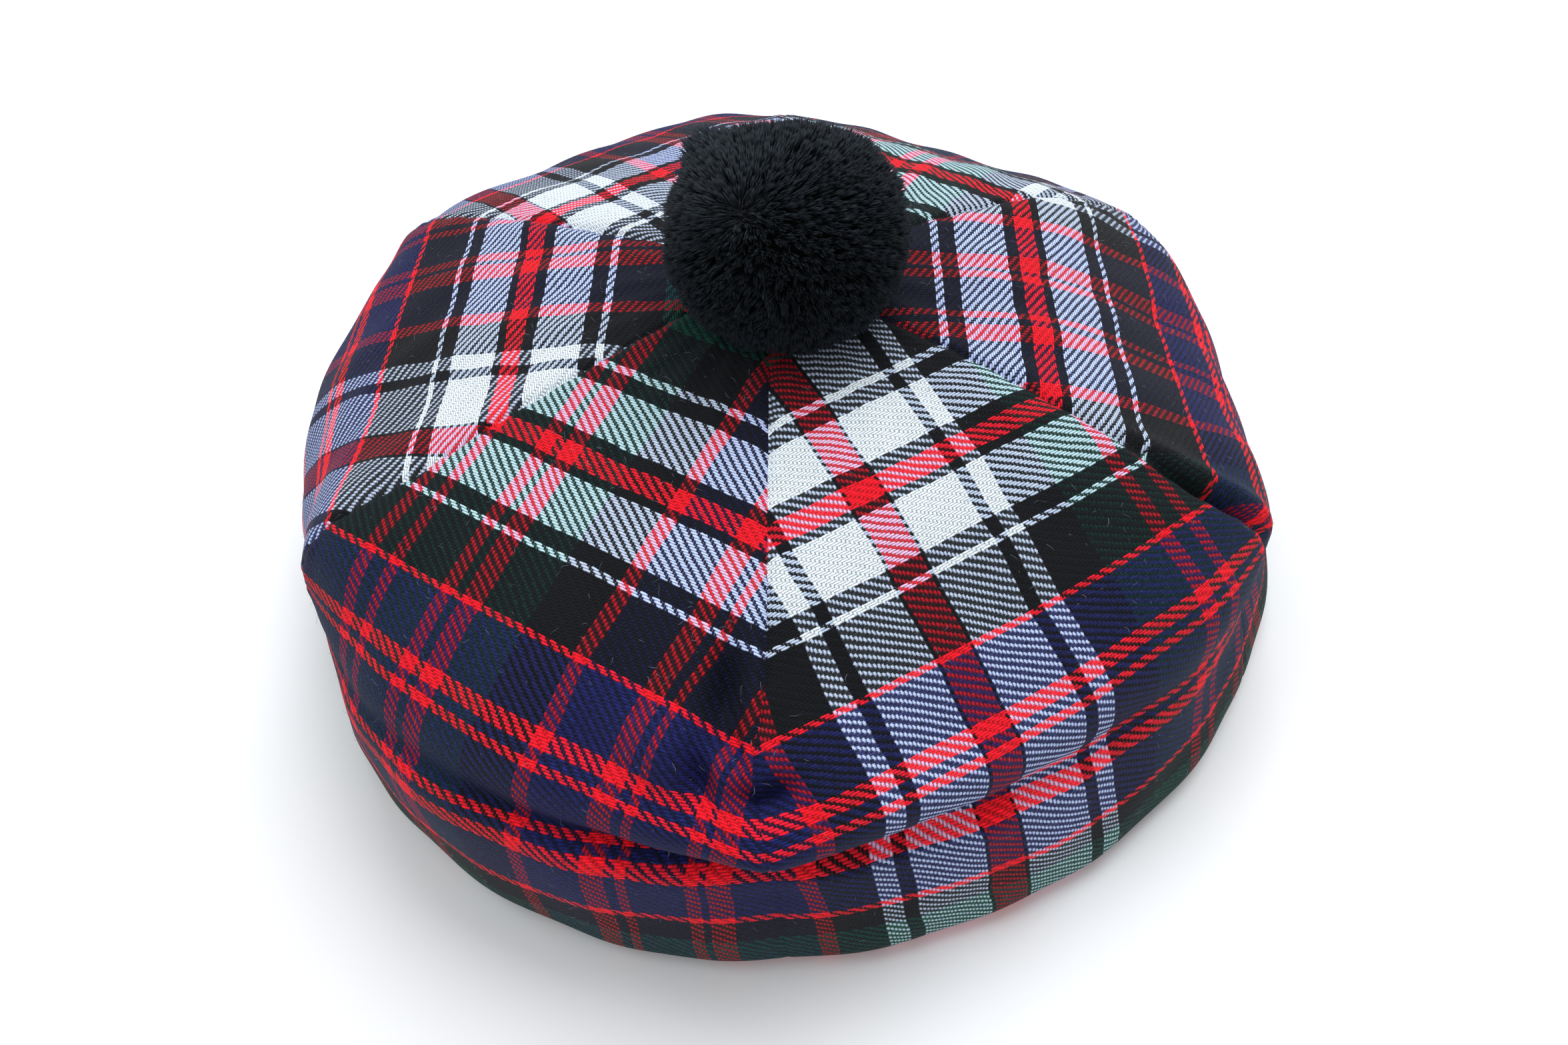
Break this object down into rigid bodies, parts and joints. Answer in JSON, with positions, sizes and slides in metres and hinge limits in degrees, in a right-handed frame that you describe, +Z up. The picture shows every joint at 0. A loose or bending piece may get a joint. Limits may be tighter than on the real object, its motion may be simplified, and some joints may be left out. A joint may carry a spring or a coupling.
{
  "type": "tam o'shanter",
  "caption": "Soft woollen tam o'shanter: tartan gores from a yarn pompom over a full rolled rim, gathered underneath to a plain headband.",
  "frame": {"origin": "middle of the hat's outline, on the surface it rests on", "axes": "+Z up through the crown and pompom, the front towards -Y, +X to the right as seen from the front, which is the wearer's left"},
  "size_m": [0.2742, 0.2764, 0.1334],
  "materials": {
    "tartan_cloth": "matte wool twill",
    "band_cloth": "matte plain cloth",
    "pompom_yarn": "matte cut wool yarn"
  },
  "bodies": {
    "root": {"gore_front_right": "tartan_cloth", "gore_right": "tartan_cloth", "gore_back_right": "tartan_cloth", "gore_back_left": "tartan_cloth", "gore_left": "tartan_cloth", "gore_front_left": "tartan_cloth", "headband": "band_cloth", "pompom": "pompom_yarn"}
  },
  "joints": []
}
